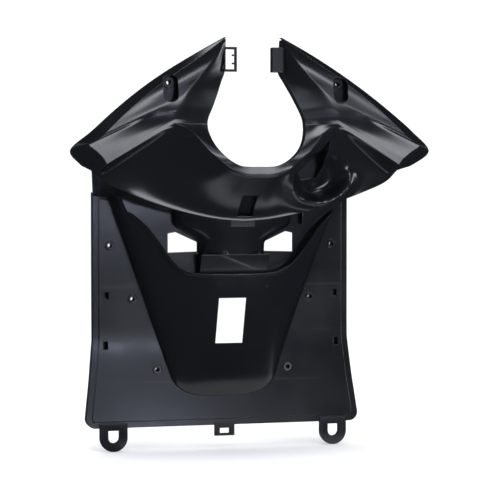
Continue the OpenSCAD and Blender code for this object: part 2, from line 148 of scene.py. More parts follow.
class Form:
    """The panel's rules in millimetres: X to the right, reach towards the rider, Z up."""

    # Slope of the foot below the bend, and how softly it bends
    bend_slope, bend_soft = 0.13, 22.0
    # Radius of the foot's corners, and the height where the shield's sides turn straight
    foot_round, waist_height = 12, 111
    # Tongue: height of its rounded foot, reach at the foot, and growth of half width and reach with height
    tongue_round, tongue_foot_reach, tongue_flare, tongue_rake = 30, 14, 0.336, 0.34
    # Pocket: drop from rim to floor, reach of the ledge's front and crest, its top, and the top of the walls
    floor_drop, ledge_front, ledge_crest, ledge_top, wall_top = 18, 60, 73, 223, 320
    # Tunnel: half widths below and above its flare, the flare's heights, and its reach from the back wall
    tunnel_low_half, tunnel_high_half, flare_low, flare_high = 42.0, 76.0, 236.0, 264.0
    tunnel_reach, tunnel_rake = 24, 0.45
    # Lower lip: rise and run of its curve, its last station, and its extra reach at the side
    lip_rise, lip_run, lip_end, lip_side_reach, return_drop = 34, 145, 178, 16, 25
    # Corner where the lip meets the wing: how far in from the wing tip, down from it and back from it
    corner_in, corner_down, corner_back = 30, 21, 33
    # Steering opening: lowest, widest and highest point, half width and reach
    ring_low, ring_wide, ring_top, ring_half, ring_reach = 333, 384, 448, 61, 192
    # Upper rim: reach at the tips and at the wings, its bow, and stations with their change in reach
    tip_reach, wing_reach, rim_bow, rim_rise = 161, 164, 9.5, 3
    rim_steps = ((1, 0), (0.86, 10), (0.7, 6), (0.53, 1.5), (0.36, -0.5), (0.18, 0),
                 (0, tip_reach - wing_reach))
    # Key bowl: its middle, half width, half height, depth, and the brow's height, width and two levels
    bowl_x, bowl_z, bowl_half, bowl_tall, bowl_depth = 86, 322, 42, 34, 13
    brow_rise, brow_width, brow_top, brow_full = 15, 0.22, 336.0, 306.0
    # Stations of the guide curves at the fold line and at the crease above it
    fold_station = 7
    strip_station = 8

    def __init__(self):
        p = sizes()
        for name in PanelSizes.__annotations__:
            setattr(self, name, getattr(p, name) / MM)
        self.shield_half = self.shield_width / 2
        self.foot_half = self.foot_width / 2
        rim_drop = self.wing_height + self.rim_rise - self.top_height
        self.rim_run = np.array([self.wing_half - self.gap_half, rim_drop])
        self.rim_out = np.array([-self.rim_run[1], self.rim_run[0]]) / float(np.hypot(*self.rim_run))
        self.corner = (self.wing_half - self.corner_in, self.wing_height - self.corner_down)

    # Leg shield
    def shield_reach(self, z):
        d = self.bend_height - z
        return 0.5 * self.bend_slope * (d + np.sqrt(d * d + self.bend_soft**2))

    # Tongue: a superellipse that gets squarer towards the pocket
    def tongue_gap(self, z, inset):
        top = self.tongue_height + inset + self.tongue_round
        return 0.97 * clamp((top - z) / self.tongue_round, 0.0, 1.0)

    def tongue_half(self, z, inset):
        wide = self.tongue_foot + self.tongue_flare * (z - self.tongue_height) - inset
        return wide * (1 - self.tongue_gap(z, inset) ** 3) ** (1 / 3)

    def tongue_reach(self, z, inset):
        rise = z - self.tongue_height
        deep = self.tongue_foot_reach + self.tongue_rake * rise - self.shield_reach(z) - inset
        return deep * (1 - self.tongue_gap(z, inset) ** 2.5) ** 0.4

    def tongue_power(self, z):
        return blend(2.2, 2.9, ease(self.tongue_height, self.wall_top, z))

    # Cowl: lower lip, the return's rear edge, and the bowed upper rim
    def lip(self, x):
        return self.lip_height + self.lip_rise * (np.abs(x) / self.lip_run) ** 1.7

    def return_z(self, x):
        f = x * self.corner[0] / self.shield_half
        return self.lip(f) - self.return_drop * (np.abs(f) / self.corner[0]) ** 3

    def rim_at(self, t):
        t = np.asarray(t, float)[..., None]
        straight = np.array([self.gap_half, self.top_height]) + self.rim_run * t
        return straight + self.rim_out * self.rim_bow * np.sin(np.pi * t)

    def ring_guide(self):
        """The steering opening: round its bottom, in towards the gap, then up the gap to the tip."""
        low, wide, top, half = self.ring_low, self.ring_wide, self.ring_top, self.ring_half
        gap, reach = self.gap_half, self.ring_reach
        bottom = ((0, 0, 0), (0.2, 0, 0), (0.41, 0.03, 0.5), (0.63, 0.17, 1), (0.82, 0.39, -2),
                  (0.93, 0.61, -8), (0.99, 0.84, -14.5), (1, 1, -17.5))
        side = ((0.01, 0.06, -18), (0.08, 0.16, -18), (0.27, 0.33, -19), (0.54, 0.58, -24.5),
                (0.79, 0.81, -32), (1, 1, -37))
        ring = [(half * a, blend(low, wide, b), reach + c) for a, b, c in bottom]
        ring += [(blend(half, gap, a), blend(wide, top, b), reach + c) for a, b, c in side]
        ring += [(gap, top + 14, reach - 36), (gap, top + 28, reach - 33.5)]
        return np.array(ring + [(gap, self.top_height - 3, self.tip_reach)], float)

    def edge_guide(self):
        """The outer edge: along the lower lip, round the corner, then up the rim to the tip."""
        edge = []
        for x in self.lip_end * np.arange(7) / 6:
            out = self.lip_side_reach * min(1, x / self.lip_run) ** 2
            edge.append((x, float(self.lip(x)), self.lip_reach + out))
        for a, b, c in ((0, 0, 0), (5, 2, 4), (16, 7.5, 16)):
            edge.append((self.corner[0] + a, self.corner[1] + b, self.wing_reach - self.corner_back + c))
        edge += [(*self.rim_at(t), self.wing_reach + change) for t, change in self.rim_steps]
        return np.array(edge, float)

    def band_guide(self, collar, edge):
        """The crease of the folded band: on the belly just inside the lip, then inside the corner and rim."""
        band = []
        for k in range(self.fold_station):
            xz = blend(collar[k, :2], edge[k, :2], 0.93)
            rise = (collar[k, 2] - edge[k, 2]) * 0.07 ** float(self.belly_power(k))
            band.append((*xz, edge[k, 2] + rise))
        for i, step in enumerate(((-11, 7, 39), (-11, 12.5, 37.5), (-14, 14.5, 29), (-18, 6.5, 16))):
            band.append(tuple(edge[self.fold_station + i] + step))
        for i, rise in enumerate((9.5, 10, 11, 10, 6)):
            t = self.rim_steps[i + 1][0]
            inside = self.rim_at(t) - self.rim_out * blend(4, 12, t)
            band.append((*inside, edge[len(band), 2] + rise))
        band.append(tuple(edge[-1] + (1.2, -1.8, 0.5)))
        return np.array(band, float)

    def guides(self):
        """Four guide curves of one half, from the bottom middle to an upper tip, as x, z and reach:
        the steering opening, the collar and ridge, the crease of the folded band, and the outer edge."""
        steps = ((0, -12, 2), (6, -11, 2), (12, -4.5, 1), (14.5, 0.5, -0.5), (17, 3, 0), (23, 8, 2),
                 (30.5, 5, 4), (41, 1, 2.5), (40.8, 2, 4.5), (40, 1, 5), (40.5, 1, 6), (39, 0, 9.5),
                 (34.5, -2, 14), (28, -2, 15), (16, -3, 10.5), (7, -2, 5), (1, 0.3, 0))
        ring, edge = self.ring_guide(), self.edge_guide()
        collar = ring + np.array(steps, float)
        return ring, collar, self.band_guide(collar, edge), edge

    def belly_power(self, k):
        """How hollow the belly is at station k: more than 1 below the fold, 1 on the wing."""
        return 1 + 0.6 * (1 - ease(5.0, 7.0, np.asarray(k, float)))

    def guide_at(self, guide, k):
        """The guide at station k, smooth on each side of the fold line and of the crease above it."""
        k = np.asarray(k, float)
        fold, crease = self.fold_station, self.strip_station
        low = spline(guide[:fold + 1], k)
        strip = blend(guide[fold], guide[crease], np.clip(k - fold, 0, 1)[:, None])
        high = spline(guide[crease:], k - crease)
        return np.where((k < fold)[:, None], low, np.where((k < crease)[:, None], strip, high))

    def bowl_change(self, x, z):
        """Dish of the key bowl on the rider's right, and the raised brow below it."""
        r = np.hypot((x - self.bowl_x) / self.bowl_half, (z - self.bowl_z) / self.bowl_tall)
        brow = self.brow_rise * np.exp(-((r - 1) / self.brow_width) ** 2)
        brow = brow * ease(self.brow_top, self.brow_full, z) * (z < self.brow_top)
        return brow - self.bowl_depth * ease(1.0, 0.4, r)

    def cowl_points(self, stations, rows, side):
        """The cowl's face, a row of points for each station; rows count from the opening at 0 over the
        collar at 1 and the crease at 2 to the edge at 3."""
        k = np.asarray(stations, float)
        r, c, b, e = (self.guide_at(g, k)[:, None, :] for g in self.guides())
        v = np.asarray(rows, float)[None, :]
        belly, power = (k < self.fold_station)[:, None], self.belly_power(k)[:, None]
        w = v[..., None]
        p = np.where(w < 1, blend(r, c, w), np.where(w < 2, blend(c, b, w - 1), blend(b, e, w - 2)))
        inner = np.hypot(*np.moveaxis((c - r)[..., :2], -1, 0))
        span = np.hypot(*np.moveaxis((b - c)[..., :2], -1, 0))
        whole = span + np.hypot(*np.moveaxis((e - b)[..., :2], -1, 0))
        past_crease = span + (v - 2) * (whole - span)
        along = np.where(v < 1, (v - 1) * inner, np.where(v < 2, (v - 1) * span, past_crease))
        rr, cr, br, er = (g[..., 2] for g in (r, c, b, e))
        hollow = er + (cr - er) * (1 - np.clip(along / whole, 0, 1)) ** power
        outer = np.where((v < 1) | ~belly, p[..., 2], blend(p[..., 2], hollow, ease(7.0, 6.3, k)[:, None]))
        soft = (blend(1.5, 7.0, ease(6.5, 9.0, k)) * ease(16.0, 13.0, k) + 0.05)[:, None]
        slope_in = (cr - rr) / inner
        slope_out = np.where(belly, -(cr - er) * power / whole, (br - cr) / span)
        bent = (slope_out - slope_in) / (4 * soft) * (along**2 + soft**2)
        rounded = cr + (slope_in + slope_out) / 2 * along + bent
        reach = np.where(np.abs(along) < soft, rounded, outer)
        x = side * p[..., 0]
        return np.stack([x, -reach - self.bowl_change(x, p[..., 1]), p[..., 1]], -1)


# Mesh helpers
def new_object(name, points, faces):
    """A mesh object at the origin from points in millimetres."""
    mesh = bpy.data.meshes.new(name)
    vertices = [tuple(p) for p in np.asarray(points, float) * MM]
    mesh.from_pydata(vertices, [], [tuple(int(i) for i in f) for f in faces])
    mesh.validate()
    mesh.update()
    obj = bpy.data.objects.new(name, mesh)
    bpy.context.collection.objects.link(obj)
    return obj


def outwards(obj):
    """Merges doubles and points every face outwards."""
    bm = bmesh.new()
    bm.from_mesh(obj.data)
    bmesh.ops.remove_doubles(bm, verts=bm.verts, dist=1e-7)
    bmesh.ops.recalc_face_normals(bm, faces=bm.faces)
    if bm.calc_volume(signed=True) < 0:
        bmesh.ops.reverse_faces(bm, faces=bm.faces)
    bm.to_mesh(obj.data)
    bm.free()
    return obj


def loft(name, sections):
    """Solid through closed sections of equal point count, with its ends capped."""
    s = np.asarray(sections, float)
    m, n = s.shape[:2]
    faces = []
    for k in range(m - 1):
        a, b = k * n, (k + 1) * n
        faces += [(a + i, a + (i + 1) % n, b + (i + 1) % n, b + i) for i in range(n)]
    faces += [tuple(range(n - 1, -1, -1)), tuple((m - 1) * n + i for i in range(n))]
    return outwards(new_object(name, s.reshape(-1, 3), faces))


def prism(name, outline, y0, y1):
    """A front-view outline driven from depth y0 to y1."""
    o = np.asarray(outline, float)
    return loft(name, [np.column_stack([o[:, 0], np.full(len(o), y), o[:, 1]]) for y in (y0, y1)])


def side_prism(name, outline, x0, x1):
    """A side-view outline, as depth and height, driven across from x0 to x1."""
    o = np.asarray(outline, float)
    return loft(name, [np.column_stack([np.full(len(o), x), o[:, 0], o[:, 1]]) for x in (x0, x1)])


def box(name, low, high):
    (x0, y0, z0), (x1, y1, z1) = low, high
    return prism(name, [(x0, z0), (x1, z0), (x1, z1), (x0, z1)], y0, y1)


def rod(name, x, z, r, y0, y1, n=48):
    a = np.linspace(0, 2 * np.pi, n, endpoint=False)
    return prism(name, np.column_stack([x + r * np.cos(a), z + r * np.sin(a)]), y0, y1)


def flipped(obj):
    """A copy mirrored about the mid-plane."""
    copy = obj.copy()
    copy.data = obj.data.copy()
    bpy.context.collection.objects.link(copy)
    for v in copy.data.vertices:
        v.co.x = -v.co.x
    return outwards(copy)


def combine(base, others, how):
    """base joined to, cut by or kept within the other solids, which are used up."""
    for other in others:
        mod = base.modifiers.new("Combine", "BOOLEAN")
        mod.operation, mod.object, mod.solver = how, other, "MANIFOLD"
    settled = bpy.data.meshes.new_from_object(base.evaluated_get(bpy.context.evaluated_depsgraph_get()))
    base.modifiers.clear()
    old, base.data = base.data, settled
    bpy.data.meshes.remove(old)
    for other in others:
        bpy.data.objects.remove(other, do_unlink=True)
    if not len(base.data.polygons):
        raise RuntimeError(f"{base.name} has no faces after {how}")
    return base


def join(base, *others):
    return combine(base, others, "UNION")


def cut(base, *others):
    return combine(base, others, "DIFFERENCE")


def within(base, *others):
    return combine(base, others, "INTERSECT")


def both_sides(half):
    half = [tuple(p) for p in half]
    return half + [(-x, z) for x, z in reversed(half) if x > 0]


def shift_outline(outline, d):
    """The outline moved outwards by d, corner by corner; it runs anticlockwise."""
    o = np.asarray(outline, float)
    e = np.roll(o, -1, 0) - o
    e /= np.hypot(*e.T)[:, None] + 1e-12
    n = np.column_stack([e[:, 1], -e[:, 0]])
    m = n + np.roll(n, 1, 0)
    m /= np.maximum((m * n).sum(1), 0.3)[:, None]
    return o + m * d


# Solids of the moulding, in millimetres
FAR = 400
SIDE = 200
SHIELD_DEPTHS = (-60, 40)
SHIELD_SCREWS = ((148, 233), (118.5, 164), (87, 73))
PAD_HALF, PAD_RISE = 5.5, 1.6
CLIP_SLOTS = ((152.5, 168), (154, 105))
CLIP_WALL = 1.6
WING_SCREW = (106, 434)
SEAT_HALF, SEAT_DROP, SEAT_FLOOR = 9, 15, -161
KEY_WELL = ((54, 326), (66, 316), (86, 319), (93, 333), (93, 366))
KEY_WELL_FLOOR = -124
RECESS_HALF, RECESS_LOW, RECESS_HIGH = 9.7, 272, 298
TONGUE_SLOT_HALF, TONGUE_SLOT_LOW, TONGUE_SLOT_HIGH = 18, 108, 167
BEAD = 4
LEDGE_HALF = 44


def arch(half, reach, power, front, base, z, steps=72):
    """One level section: a superellipse arch in front of front, closed by a straight base."""
    a = np.linspace(0, np.pi, steps + 1)
    x = half * np.sign(np.cos(a)) * np.abs(np.cos(a)) ** (2 / power)
    y = front - reach * np.abs(np.sin(a)) ** (2 / power)
    x, y = np.append(x, [-half, half]), np.append(y, [base, base])
    return np.column_stack([x, y, np.full(len(x), z)])


def tongue_body(form, inset, base, name="Tongue"):
    low = form.tongue_height + inset
    foot = low + form.tongue_round * np.linspace(0, 1, 22) ** 1.6
    sections = []
    for z in np.concatenate([foot, np.linspace(low + form.tongue_round, form.wall_top, 46)[1:]]):
        half, reach = form.tongue_half(z, inset), form.tongue_reach(z, inset)
        sections.append(arch(half, reach, form.tongue_power(z), -form.shield_reach(z), base, z))
    return loft(name, sections)


def tunnel_body(form, inset, base, name="Tunnel"):
    foot, (low, high) = form.ledge_top, (form.flare_low, form.flare_high)
    sections = []
    for z in np.concatenate([[foot - form.wall / 2 - inset], np.linspace(low, high, 16), [form.wall_top]]):
        half = blend(form.tunnel_low_half, form.tunnel_high_half, ease(low, high, z)) - inset
        reach = form.tunnel_reach + form.tunnel_rake * max(0, z - foot) - inset
        sections.append(arch(half, reach, 3.0, -form.pocket_depth, base, z))
    return loft(name, sections)


def shield_outline(form):
    half, foot, r = form.shield_half, form.foot_half, form.foot_round
    top = [(x, float(form.return_z(x)) + 2 * form.wall) for x in half * np.linspace(1, 0, 17)]
    turn = [(foot - r + r * math.cos(t), r + r * math.sin(t)) for t in np.radians(np.linspace(-90, 0, 13))]
    return both_sides([(0, 0)] + turn + [(foot - 6, 60), (half, form.waist_height)] + top)


def shield_slab(form, thick, step):
    """The shield's side view as a slab wider than the panel, its face set back by step."""
    z = np.concatenate([[-30], np.linspace(40, 190, 61), [340]])
    y = step - form.shield_reach(z)
    back = thick - form.shield_reach(z)
    return side_prism("Slab", list(zip(y, z)) + list(zip(back[::-1], z[::-1])), -300, 300)


def ledge_outline(form, inset, back):
    low = form.rim_height - form.floor_drop + 1.5 * inset
    front, crest, top = inset - form.ledge_front, inset - form.ledge_crest, form.ledge_top - inset
    return [(back, low), (front, low), (front, form.rim_height), (crest, top), (back, top)]


def mouth_outline(form):
    """Front view of the pocket's mouth; it runs on upwards behind the cowl."""
    rim, side = form.rim_height, 152
    keys = np.array([(0, rim), (44, rim + 1), (64, rim + 6), (80, rim + 18), (112, rim + 60),
                     (142, rim + 88), (side, rim + 112)])
    half = spline(keys, np.linspace(0, 6, 37))
    return both_sides([tuple(p) for p in half] + [(side, 380)])


def seat_outline(grow):
    """Tall seat of a wing screw, round at both ends."""
    x, z = WING_SCREW
    r = SEAT_HALF + grow
    up = np.radians(np.linspace(0, 180, 21))
    low = np.radians(np.linspace(180, 360, 21))
    return ([(x + r * math.cos(t), z + r * math.sin(t)) for t in up]
            + [(x + r * math.cos(t), z - SEAT_DROP + r * math.sin(t)) for t in low])


def sunk_places(grow):
    """Prisms that sink the screw seats, the key well and the middle recess into the cowl."""
    seat = prism("Seat", seat_outline(grow), -FAR, SEAT_FLOOR + grow)
    well = prism("Well", shift_outline(KEY_WELL, grow), -FAR, KEY_WELL_FLOOR + grow)
    low, high, half = RECESS_LOW - grow, RECESS_HIGH + grow, RECESS_HALF + grow
    slant = [(-FAR, low), (-108 + grow, low), (-130 + grow, high), (-FAR, high)]
    return [flipped(seat), seat, well, side_prism("Recess", slant, -half, half)]


def set_back(points, y):
    return points + np.array([0, y, 0])


def cowl_sheet(form, y0, y1, flange=None, trim=0.0):
    """Sheet behind the cowl's face from depth y0 to y1. With a flange depth it is fine and has flanges
    behind its edges; without one it is coarse, and its edges are cut back by trim."""
    if flange is not None:
        half = np.concatenate([np.linspace(0, 6.2, 63), np.linspace(6.25, 8.6, 32),
                               np.linspace(8.7, 15.8, 56), [16]])
        rows = np.concatenate([[0, 0.2, 0.45, 0.7, 0.85, 0.94], np.linspace(1, 1.2, 9),
                               np.linspace(1.23, 1.97, 28), [2, 2.2, 2.45, 2.7, 2.9, 3]])
        back = np.concatenate([[2.8, 2.4, 2], np.linspace(1.95, 1.03, 26), [1, 0.7, 0.3]])
    else:
        half = np.concatenate([np.linspace(0, 8.4, 40), np.linspace(8.7, 16, 24)])
        rows = trim + np.linspace(0, 3, 40) * ((3 - 2 * trim) / 3)
        back = np.linspace(3 - trim, trim, 40)
    sections = []
    for stations, side in ((half[:0:-1], 1), (half, -1)):
        front = set_back(form.cowl_points(stations, rows, side), y0)
        rear = set_back(form.cowl_points(stations, back, side), y1)
        parts = [front, rear]
        if flange is not None:
            outer = set_back(form.cowl_points(stations, [3, 2.94], side), flange)
            inner = set_back(form.cowl_points(stations, [0.06, 0], side), flange)
            parts = [front, outer, rear, inner]
        sections.append(np.concatenate(parts, 1))
    return loft("Cowl", np.concatenate(sections))


def return_wall(form):
    """The lower lip turned back to the shield."""
    edge = form.guides()[3]
    k = np.linspace(0, form.fold_station, 57)
    wall, rear, low = form.wall, form.wall / 2, 0.2
    sections = []
    for stations, side in ((k[:0:-1], -1), (k, 1)):
        for x, z, reach in form.guide_at(edge, stations):
            x = side * x
            y = wall * 1.2 - reach
            xb = x * (form.shield_half / form.corner[0] - 0.002)
            zb = float(form.return_z(xb))
            sections.append([(x, y, z + low), (xb, rear, zb + low), (xb, rear, zb + wall), (x, y, z + wall)])
    return loft("Return", sections)


def shield_shell(form):
    """The shield's wall, with the stepped strip and the flange along its edges."""
    wall, step, outline = form.wall, form.strip_step, shield_outline(form)
    middle = prism("Shield", shift_outline(outline, -form.strip_width), *SHIELD_DEPTHS)
    shield = within(middle, shield_slab(form, wall, 0))
    inside = [prism("Inside", shift_outline(outline, -d), -70, 50) for d in (form.strip_width + wall, wall)]
    strip = cut(prism("Strip", outline, *SHIELD_DEPTHS), inside[0])
    flange = cut(prism("Flange", outline, *SHIELD_DEPTHS), inside[1])
    return join(shield, within(strip, shield_slab(form, wall + step, step)),
                within(flange, shield_slab(form, form.flange, step + wall * 0.6)))


def add_tongue(form, shield):
    """Joins the tongue and the bead of its mouth, then hollows it and cuts the mouth and the tall slot."""
    wall, back_y, mouth = form.wall, -form.pocket_depth, mouth_outline(form)
    bead = within(tongue_body(form, -BEAD, wall, "Bead"),
                  prism("Bead band", shift_outline(mouth, BEAD), -FAR, back_y),
                  box("Below", (-SIDE, -FAR, 0), (SIDE, FAR, form.lip_height + 10)))
    join(shield, tongue_body(form, 0, wall), bead)
    cut(shield, tongue_body(form, wall, 20, "Hollow"), prism("Mouth", mouth, -FAR, back_y),
        box("Slot", (-TONGUE_SLOT_HALF, -FAR, TONGUE_SLOT_LOW), (TONGUE_SLOT_HALF, 0, TONGUE_SLOT_HIGH)))


def add_pocket(form, shield):
    """Joins the pocket's back wall, floor, ledge, knob and ribs, and the tunnel above the ledge."""
    wall, back_y = form.wall, -form.pocket_depth
    rear_y, mid_y, floor_z = back_y + wall, back_y + wall / 2, form.rim_height - form.floor_drop
    back = within(tongue_body(form, wall / 2, wall, "Back"),
                  box("Back", (-SIDE, back_y, floor_z), (SIDE, rear_y, FAR)))
    floor = within(tongue_body(form, wall / 2, wall, "Floor"),
                   box("Floor", (-SIDE, -SIDE, floor_z), (SIDE, rear_y, floor_z + wall)))
    rib_y, lean, rib_long = (back_y - 12, back_y + 1), math.radians(35), 26
    along = np.array([math.sin(lean), math.cos(lean)])
    across = np.array([math.cos(lean), -math.sin(lean)])
    foot = np.array([91.0, 227.0])
    side = foot + wall * across
    rib = prism("Rib", [foot, side, side + rib_long * along, foot + rib_long * along], *rib_y)
    thin_rib = box("Thin rib", (91, rib_y[0], 260), (92.6, rib_y[1], 282))
    t = np.linspace(0, 2 * np.pi, 40, endpoint=False)
    knob = loft("Knob", [np.column_stack([-15 + r * np.cos(t), -64 + r * np.sin(t), np.full(40, z)])
                         for r, z in ((9, 222.5), (9, 226), (8, 227))])
    ledge = side_prism("Ledge", ledge_outline(form, 0, mid_y), -LEDGE_HALF, LEDGE_HALF)
    join(shield, back, floor, ledge, knob, rib, thin_rib, tunnel_body(form, 0, mid_y))
    # The walls below end where the lip turns back to the shield
    under = [(x, float(form.return_z(x)) + 1.5 * wall) for x in np.linspace(0, SIDE, 21)]
    cut(shield, prism("Above the return", both_sides(under + [(SIDE, 420), (0, 420)]), -FAR, 40))


def add_cowl(form, shield):
    """Joins the cowl and its return, hollows ledge and tunnel, and backs and sinks the sunk places."""
    wall, back_y = form.wall, -form.pocket_depth
    join(shield, cowl_sheet(form, 0, wall * 1.5, form.flange), return_wall(form))
    opening = prism("Opening", [(44, 226), (82, 225), (82, 249), (72, 251), (44, 238)], back_y - 1, 20)
    half = LEDGE_HALF - wall
    cut(shield, tunnel_body(form, wall, 20, "Tunnel hollow"),
        side_prism("Ledge hollow", ledge_outline(form, wall, 20), -half, half), flipped(opening), opening)
    places = sunk_places(wall)
    for place in places:
        within(place, cowl_sheet(form, wall * 0.6, 50, trim=0.1))
    lip_y, lip_z = 8 - form.lip_reach, form.lip_height
    catch = box("Lip catch", (-15, lip_y, lip_z - 7), (15, lip_y + wall, lip_z + 5))
    join(shield, *places, catch, *small_parts(form))
    cut(shield, *sunk_places(0))


def add_pairs(form, shield):
    """The mirrored pairs: clip slots in their housings, padded screw holes and bosses of the wing screws."""
    for x, z in CLIP_SLOTS:
        half, tall = 3 + CLIP_WALL, 5 + CLIP_WALL
        housing = box("Clip housing", (x - half, 1, z - tall), (x + half, 11, z + tall))
        join(shield, flipped(housing), housing)
        slot = box("Clip slot", (x - 3, -30, z - 5), (x + 3, 9.5, z + 5))
        cut(shield, flipped(slot), slot)
    for x, z in SHIELD_SCREWS:
        face = -float(form.shield_reach(z))
        pad = rod("Pad", x, z, PAD_HALF, face - PAD_RISE, face + 1)
        join(shield, flipped(pad), pad)
        bore = rod("Bore", x, z, form.screw_bore / 2, -40, 40)
        cut(shield, flipped(bore), bore)
    seat_bore = rod("Bore", *WING_SCREW, form.screw_bore / 2, -200, -120)
    boss = rod("Wing boss", *WING_SCREW, form.boss / 2, -162, -147)
    join(shield, flipped(boss), boss)
    cut(shield, flipped(seat_bore), seat_bore)


def build_moulding(form):
    """The whole moulding as one closed mesh."""
    shield = shield_shell(form)
    for add in (add_tongue, add_pocket, add_cowl, add_pairs):
        add(form, shield)
    return shield


def hanging(x, z, r, top):
    """Outline that hangs from top and ends in a half circle about x, z."""
    t = np.radians(np.linspace(180, 360, 25))
    return [(x + r, top), (x - r, top)] + [(x + r * math.cos(a), z + r * math.sin(a)) for a in t]


def small_parts(form):
    """Bottom loops, middle hook, open clip frame on the left tip and closed catch on the right one."""
    y = -float(form.shield_reach(-15.0))
    loop = cut(prism("Loop", hanging(146, -12, 18, 6), y, y + 5),
               prism("Loop gap", hanging(146, -12, 7, -3), y - 5, y + 10))
    y = -float(form.shield_reach(-6.0))
    hook = cut(box("Hook", (-13, y, -14), (13, y + 5, 4)),
               box("Hook gap", (-6.5, y - 5, -11), (6.5, y + 10, -4)))
    y, low, high = -160.0, 448, 478
    clip = cut(box("Clip", (-37, y, low), (-21, y + 2.5, high)),
               box("Clip gap", (-35, y - 5, low + 3), (-24, y + 8, high - 3)))
    join(clip, *[box("Tooth", (-27, y, z), (-23, y + 2.5, z + 2)) for z in (457, 467)])
    latch = cut(box("Catch", (23, y - 2, low), (37, y + 8, high)),
                box("Catch hollow", (25, y, low + 2), (39, y + 12, high - 2)))
    return [flipped(loop), loop, hook, clip, latch]


# Trees of nodes, for geometry and for finishes
def add_node(tree, kind, settings=None, inputs=None):
    """One node with its settings, its plain values, and its links from other nodes' outputs."""
    node = tree.nodes.new(kind)
    for name, value in (settings or {}).items():
        setattr(node, name, value)
    for name, value in (inputs or {}).items():
        if isinstance(value, bpy.types.NodeSocket):
            tree.links.new(value, node.inputs[name])
        else:
            node.inputs[name].default_value = value
    return node


def geometry_tree(name, lengths):
    """An empty geometry tree with a points input, the named lengths and a geometry output."""
    tree = bpy.data.node_groups.new(name, "GeometryNodeTree")
    tree.interface.new_socket(name="Points", in_out="INPUT", socket_type="NodeSocketGeometry")
    for title, value in lengths.items():
        socket = tree.interface.new_socket(name=title, in_out="INPUT", socket_type="NodeSocketFloat")
        socket.subtype = "DISTANCE"
        socket.default_value = value
    tree.interface.new_socket(name="Geometry", in_out="OUTPUT", socket_type="NodeSocketGeometry")
    return tree, add_node(tree, "NodeGroupInput").outputs


def finish_tree(tree, instances, material):
    """Ends a geometry tree: real geometry, with its material."""
    real = add_node(tree, "GeometryNodeRealizeInstances", inputs={"Geometry": instances})
    dressed = add_node(tree, "GeometryNodeSetMaterial",
                       inputs={"Geometry": real.outputs[0], "Material": material})
    add_node(tree, "NodeGroupOutput", inputs={"Geometry": dressed.outputs[0]})


def named_vector(tree, name):
    """The vector that every point carries under this name."""
    node = add_node(tree, "GeometryNodeInputNamedAttribute", {"data_type": "FLOAT_VECTOR"}, {"Name": name})
    return node.outputs["Attribute"]


def place_on(tree, points, shape, turn):
    """The shape on every point, scaled by the point's own stretch."""
    placed = add_node(tree, "GeometryNodeInstanceOnPoints", inputs={
        "Points": points, "Instance": shape, "Rotation": turn, "Scale": named_vector(tree, "stretch")})
    return placed.outputs[0]


def boss_tree(outside, bore, material):
    """Rings of the screw bosses, one on every point."""
    tree, given = geometry_tree("Screw bosses", {"Outside": outside, "Bore": bore})
    radii = [add_node(tree, "ShaderNodeMath", {"operation": "MULTIPLY"}, {0: given[name], 1: 0.5}).outputs[0]
             for name in ("Outside", "Bore")]
    post, hole = (add_node(tree, "GeometryNodeMeshCylinder", inputs={"Vertices": 48, "Radius": r, "Depth": d})
                  for r, d in zip(radii, (1.0, 1.2)))
    ring = add_node(tree, "GeometryNodeMeshBoolean", {"operation": "DIFFERENCE", "solver": "EXACT"},
                    {"Mesh 1": post.outputs["Mesh"], "Mesh 2": hole.outputs["Mesh"]})
    finish_tree(tree, place_on(tree, given["Points"], ring.outputs["Mesh"], (math.pi / 2, 0, 0)), material)
    return tree


def rib_tree(thickness, material):
    """Flat stiffening ribs, one on every point, each as long and tall as its point says."""
    tree, given = geometry_tree("Back ribs", {"Thickness": thickness})
    size = add_node(tree, "ShaderNodeCombineXYZ", inputs={"X": 1.0, "Y": 1.0, "Z": given["Thickness"]})
    bar = add_node(tree, "GeometryNodeMeshCube", inputs={"Size": size.outputs[0]})
    turn = named_vector(tree, "turn")
    finish_tree(tree, place_on(tree, given["Points"], bar.outputs["Mesh"], turn), material)
    return tree


def grow(name, points, vectors, tree):
    """A plain mesh from a geometry tree run on points, which carry the named vectors."""
    start = new_object(name, points, [])
    for title, values in vectors.items():
        layer = start.data.attributes.new(title, "FLOAT_VECTOR", "POINT")
        layer.data.foreach_set("vector", np.asarray(values, float).ravel())
    mod = start.modifiers.new("Grow", "NODES")
    mod.node_group = tree
    for socket in tree.interface.items_tree:
        if socket.in_out == "INPUT" and socket.socket_type == "NodeSocketFloat":
            mod[socket.identifier] = socket.default_value
    settled = bpy.data.meshes.new_from_object(start.evaluated_get(bpy.context.evaluated_depsgraph_get()))
    start.modifiers.clear()
    old, start.data = start.data, settled
    bpy.data.meshes.remove(old)
    return outwards(start)


# Finishes
def linear(code):
    """An sRGB hex colour as linear red, green, blue and alpha."""
    parts = [int(code[i:i + 2], 16) / 255 for i in (1, 3, 5)]
    return tuple(c / 12.92 if c <= 0.04045 else ((c + 0.055) / 1.055) ** 2.4 for c in parts) + (1.0,)


def new_material(name):
    """A material with an empty tree, its output and its shader."""
    material = bpy.data.materials.new(name)
    material.use_nodes = True
    tree = material.node_tree
    tree.nodes.clear()
    shader = add_node(tree, "ShaderNodeBsdfPrincipled")
    add_node(tree, "ShaderNodeOutputMaterial", inputs={"Surface": shader.outputs[0]})
    return material, tree, shader


